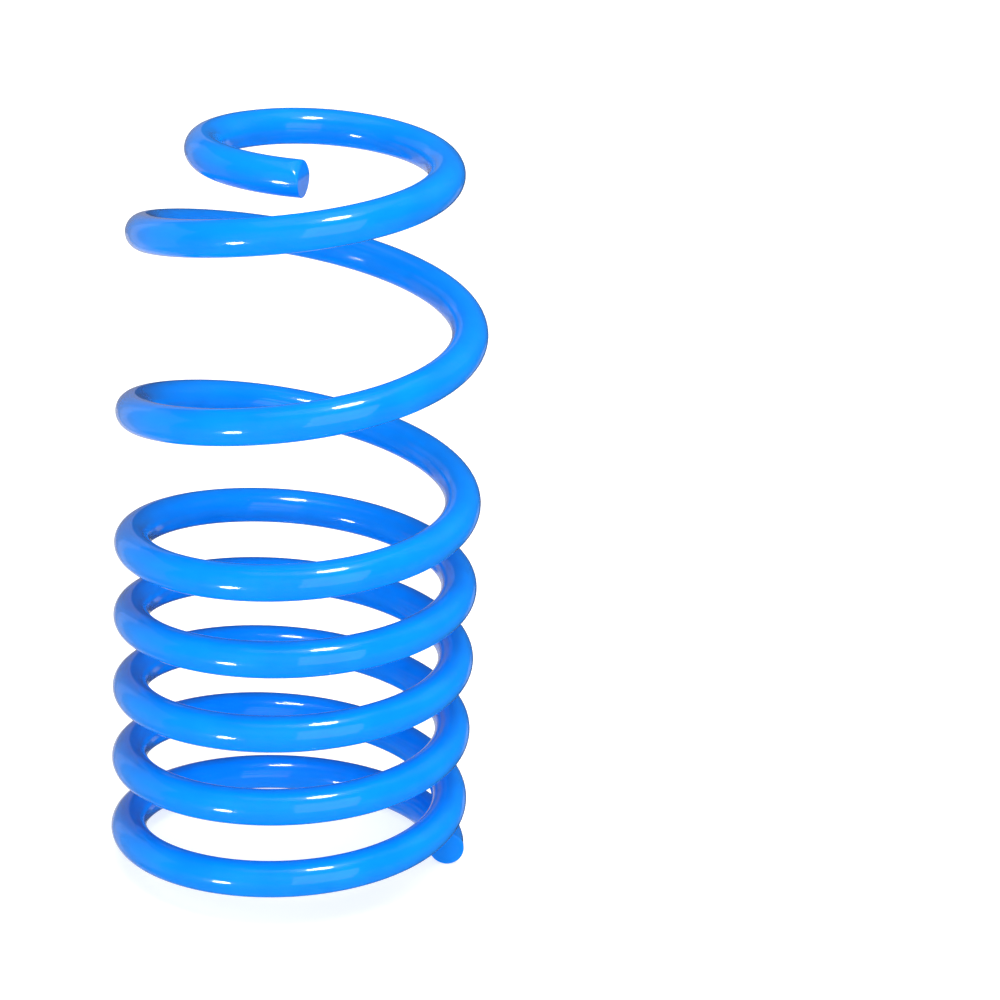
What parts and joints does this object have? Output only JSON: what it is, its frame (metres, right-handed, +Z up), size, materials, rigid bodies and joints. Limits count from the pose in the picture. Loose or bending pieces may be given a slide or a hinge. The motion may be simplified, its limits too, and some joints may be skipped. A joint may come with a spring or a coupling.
{
  "type": "coil spring",
  "caption": "Suspension coil spring of powder-coated round wire: close coils below, open coils above, and a flat top coil that spirals inward to a sheared tip.",
  "frame": {"origin": "on the coil axis, level with the bottom of the lower end coil, where the spring stands on its seat", "axes": "+Z up along the coil axis towards the inward-spiralling top coil; the sheared top tip lies on the -Y side and points to +X; the bottom cut end lies on the +X side and faces -Y"},
  "size_m": [0.1268, 0.1268, 0.2656],
  "materials": {
    "powder_coat": "high-gloss azure-blue powder coat over spring-steel wire"
  },
  "bodies": {
    "lower_end_coil": {"lower_end_coil": "powder_coat"},
    "close_coil_01": {"close_coil_01": "powder_coat"},
    "close_coil_02": {"close_coil_02": "powder_coat"},
    "close_coil_03": {"close_coil_03": "powder_coat"},
    "close_coil_04": {"close_coil_04": "powder_coat"},
    "close_coil_05": {"close_coil_05": "powder_coat"},
    "close_coil_06": {"close_coil_06": "powder_coat"},
    "close_coil_07": {"close_coil_07": "powder_coat"},
    "close_coil_08": {"close_coil_08": "powder_coat"},
    "close_coil_09": {"close_coil_09": "powder_coat"},
    "close_coil_10": {"close_coil_10": "powder_coat"},
    "close_coil_11": {"close_coil_11": "powder_coat"},
    "close_coil_12": {"close_coil_12": "powder_coat"},
    "close_coil_13": {"close_coil_13": "powder_coat"},
    "middle_coil": {"middle_coil": "powder_coat"},
    "open_coil_01": {"open_coil_01": "powder_coat"},
    "open_coil_02": {"open_coil_02": "powder_coat"},
    "open_coil_03": {"open_coil_03": "powder_coat"},
    "open_coil_04": {"open_coil_04": "powder_coat"},
    "open_coil_05": {"open_coil_05": "powder_coat"},
    "open_coil_06": {"open_coil_06": "powder_coat"},
    "open_coil_07": {"open_coil_07": "powder_coat"},
    "open_coil_08": {"open_coil_08": "powder_coat"},
    "open_coil_09": {"open_coil_09": "powder_coat"},
    "open_coil_10": {"open_coil_10": "powder_coat"},
    "open_coil_11": {"open_coil_11": "powder_coat"},
    "open_coil_12": {"open_coil_12": "powder_coat"},
    "open_coil_13": {"open_coil_13": "powder_coat"},
    "open_coil_14": {"open_coil_14": "powder_coat"},
    "open_coil_15": {"open_coil_15": "powder_coat"},
    "open_coil_16": {"open_coil_16": "powder_coat"},
    "open_coil_17": {"open_coil_17": "powder_coat"},
    "open_coil_18": {"open_coil_18": "powder_coat"},
    "open_coil_19": {"open_coil_19": "powder_coat"},
    "open_coil_20": {"open_coil_20": "powder_coat"},
    "upper_end_coil": {"upper_end_coil": "powder_coat"}
  },
  "joints": [
    {"name": "close_coils_travel", "type": "slide", "parent": "lower_end_coil", "child": "middle_coil", "axis": [0, 0, 1], "range_m": [-0.0435, 0], "stiffness_N_per_m": 47900},
    {"name": "open_coils_travel", "type": "slide", "parent": "middle_coil", "child": "upper_end_coil", "axis": [0, 0, 1], "range_m": [-0.1005, 0], "stiffness_N_per_m": 65700},
    {"name": "close_coil_01_travel", "type": "slide", "parent": "lower_end_coil", "child": "close_coil_01", "axis": [0, 0, 1], "range_m": [-0.00168, 0]},
    {"name": "close_coil_02_travel", "type": "slide", "parent": "lower_end_coil", "child": "close_coil_02", "axis": [0, 0, 1], "range_m": [-0.00502, 0]},
    {"name": "close_coil_03_travel", "type": "slide", "parent": "lower_end_coil", "child": "close_coil_03", "axis": [0, 0, 1], "range_m": [-0.00837, 0]},
    {"name": "close_coil_04_travel", "type": "slide", "parent": "lower_end_coil", "child": "close_coil_04", "axis": [0, 0, 1], "range_m": [-0.01171, 0]},
    {"name": "close_coil_05_travel", "type": "slide", "parent": "lower_end_coil", "child": "close_coil_05", "axis": [0, 0, 1], "range_m": [-0.01506, 0]},
    {"name": "close_coil_06_travel", "type": "slide", "parent": "lower_end_coil", "child": "close_coil_06", "axis": [0, 0, 1], "range_m": [-0.01841, 0]},
    {"name": "close_coil_07_travel", "type": "slide", "parent": "lower_end_coil", "child": "close_coil_07", "axis": [0, 0, 1], "range_m": [-0.02175, 0]},
    {"name": "close_coil_08_travel", "type": "slide", "parent": "lower_end_coil", "child": "close_coil_08", "axis": [0, 0, 1], "range_m": [-0.0251, 0]},
    {"name": "close_coil_09_travel", "type": "slide", "parent": "lower_end_coil", "child": "close_coil_09", "axis": [0, 0, 1], "range_m": [-0.02844, 0]},
    {"name": "close_coil_10_travel", "type": "slide", "parent": "lower_end_coil", "child": "close_coil_10", "axis": [0, 0, 1], "range_m": [-0.03179, 0]},
    {"name": "close_coil_11_travel", "type": "slide", "parent": "lower_end_coil", "child": "close_coil_11", "axis": [0, 0, 1], "range_m": [-0.03513, 0]},
    {"name": "close_coil_12_travel", "type": "slide", "parent": "lower_end_coil", "child": "close_coil_12", "axis": [0, 0, 1], "range_m": [-0.03848, 0]},
    {"name": "close_coil_13_travel", "type": "slide", "parent": "lower_end_coil", "child": "close_coil_13", "axis": [0, 0, 1], "range_m": [-0.04183, 0]},
    {"name": "open_coil_01_travel", "type": "slide", "parent": "middle_coil", "child": "open_coil_01", "axis": [0, 0, 1], "range_m": [-0.000843, 0]},
    {"name": "open_coil_02_travel", "type": "slide", "parent": "middle_coil", "child": "open_coil_02", "axis": [0, 0, 1], "range_m": [-0.00253, 0]},
    {"name": "open_coil_03_travel", "type": "slide", "parent": "middle_coil", "child": "open_coil_03", "axis": [0, 0, 1], "range_m": [-0.00472, 0]},
    {"name": "open_coil_04_travel", "type": "slide", "parent": "middle_coil", "child": "open_coil_04", "axis": [0, 0, 1], "range_m": [-0.00775, 0]},
    {"name": "open_coil_05_travel", "type": "slide", "parent": "middle_coil", "child": "open_coil_05", "axis": [0, 0, 1], "range_m": [-0.0116, 0]},
    {"name": "open_coil_06_travel", "type": "slide", "parent": "middle_coil", "child": "open_coil_06", "axis": [0, 0, 1], "range_m": [-0.01629, 0]},
    {"name": "open_coil_07_travel", "type": "slide", "parent": "middle_coil", "child": "open_coil_07", "axis": [0, 0, 1], "range_m": [-0.02181, 0]},
    {"name": "open_coil_08_travel", "type": "slide", "parent": "middle_coil", "child": "open_coil_08", "axis": [0, 0, 1], "range_m": [-0.02791, 0]},
    {"name": "open_coil_09_travel", "type": "slide", "parent": "middle_coil", "child": "open_coil_09", "axis": [0, 0, 1], "range_m": [-0.03405, 0]},
    {"name": "open_coil_10_travel", "type": "slide", "parent": "middle_coil", "child": "open_coil_10", "axis": [0, 0, 1], "range_m": [-0.04018, 0]},
    {"name": "open_coil_11_travel", "type": "slide", "parent": "middle_coil", "child": "open_coil_11", "axis": [0, 0, 1], "range_m": [-0.04631, 0]},
    {"name": "open_coil_12_travel", "type": "slide", "parent": "middle_coil", "child": "open_coil_12", "axis": [0, 0, 1], "range_m": [-0.05244, 0]},
    {"name": "open_coil_13_travel", "type": "slide", "parent": "middle_coil", "child": "open_coil_13", "axis": [0, 0, 1], "range_m": [-0.05858, 0]},
    {"name": "open_coil_14_travel", "type": "slide", "parent": "middle_coil", "child": "open_coil_14", "axis": [0, 0, 1], "range_m": [-0.06471, 0]},
    {"name": "open_coil_15_travel", "type": "slide", "parent": "middle_coil", "child": "open_coil_15", "axis": [0, 0, 1], "range_m": [-0.07084, 0]},
    {"name": "open_coil_16_travel", "type": "slide", "parent": "middle_coil", "child": "open_coil_16", "axis": [0, 0, 1], "range_m": [-0.07697, 0]},
    {"name": "open_coil_17_travel", "type": "slide", "parent": "middle_coil", "child": "open_coil_17", "axis": [0, 0, 1], "range_m": [-0.08311, 0]},
    {"name": "open_coil_18_travel", "type": "slide", "parent": "middle_coil", "child": "open_coil_18", "axis": [0, 0, 1], "range_m": [-0.08924, 0]},
    {"name": "open_coil_19_travel", "type": "slide", "parent": "middle_coil", "child": "open_coil_19", "axis": [0, 0, 1], "range_m": [-0.09481, 0]},
    {"name": "open_coil_20_travel", "type": "slide", "parent": "middle_coil", "child": "open_coil_20", "axis": [0, 0, 1], "range_m": [-0.09896, 0]}
  ],
  "couplings": [
    {"joint": "close_coil_01_travel", "follows": "close_coils_travel", "ratio": 0.03852},
    {"joint": "close_coil_02_travel", "follows": "close_coils_travel", "ratio": 0.11544},
    {"joint": "close_coil_03_travel", "follows": "close_coils_travel", "ratio": 0.19235},
    {"joint": "close_coil_04_travel", "follows": "close_coils_travel", "ratio": 0.26927},
    {"joint": "close_coil_05_travel", "follows": "close_coils_travel", "ratio": 0.34618},
    {"joint": "close_coil_06_travel", "follows": "close_coils_travel", "ratio": 0.4231},
    {"joint": "close_coil_07_travel", "follows": "close_coils_travel", "ratio": 0.50001},
    {"joint": "close_coil_08_travel", "follows": "close_coils_travel", "ratio": 0.57692},
    {"joint": "close_coil_09_travel", "follows": "close_coils_travel", "ratio": 0.65384},
    {"joint": "close_coil_10_travel", "follows": "close_coils_travel", "ratio": 0.73075},
    {"joint": "close_coil_11_travel", "follows": "close_coils_travel", "ratio": 0.80767},
    {"joint": "close_coil_12_travel", "follows": "close_coils_travel", "ratio": 0.88458},
    {"joint": "close_coil_13_travel", "follows": "close_coils_travel", "ratio": 0.9615},
    {"joint": "open_coil_01_travel", "follows": "open_coils_travel", "ratio": 0.00837},
    {"joint": "open_coil_02_travel", "follows": "open_coils_travel", "ratio": 0.02513},
    {"joint": "open_coil_03_travel", "follows": "open_coils_travel", "ratio": 0.04697},
    {"joint": "open_coil_04_travel", "follows": "open_coils_travel", "ratio": 0.07707},
    {"joint": "open_coil_05_travel", "follows": "open_coils_travel", "ratio": 0.11544},
    {"joint": "open_coil_06_travel", "follows": "open_coils_travel", "ratio": 0.16207},
    {"joint": "open_coil_07_travel", "follows": "open_coils_travel", "ratio": 0.21697},
    {"joint": "open_coil_08_travel", "follows": "open_coils_travel", "ratio": 0.27775},
    {"joint": "open_coil_09_travel", "follows": "open_coils_travel", "ratio": 0.33877},
    {"joint": "open_coil_10_travel", "follows": "open_coils_travel", "ratio": 0.39978},
    {"joint": "open_coil_11_travel", "follows": "open_coils_travel", "ratio": 0.4608},
    {"joint": "open_coil_12_travel", "follows": "open_coils_travel", "ratio": 0.52182},
    {"joint": "open_coil_13_travel", "follows": "open_coils_travel", "ratio": 0.58284},
    {"joint": "open_coil_14_travel", "follows": "open_coils_travel", "ratio": 0.64385},
    {"joint": "open_coil_15_travel", "follows": "open_coils_travel", "ratio": 0.70487},
    {"joint": "open_coil_16_travel", "follows": "open_coils_travel", "ratio": 0.76589},
    {"joint": "open_coil_17_travel", "follows": "open_coils_travel", "ratio": 0.82691},
    {"joint": "open_coil_18_travel", "follows": "open_coils_travel", "ratio": 0.88792},
    {"joint": "open_coil_19_travel", "follows": "open_coils_travel", "ratio": 0.94341},
    {"joint": "open_coil_20_travel", "follows": "open_coils_travel", "ratio": 0.98471}
  ]
}
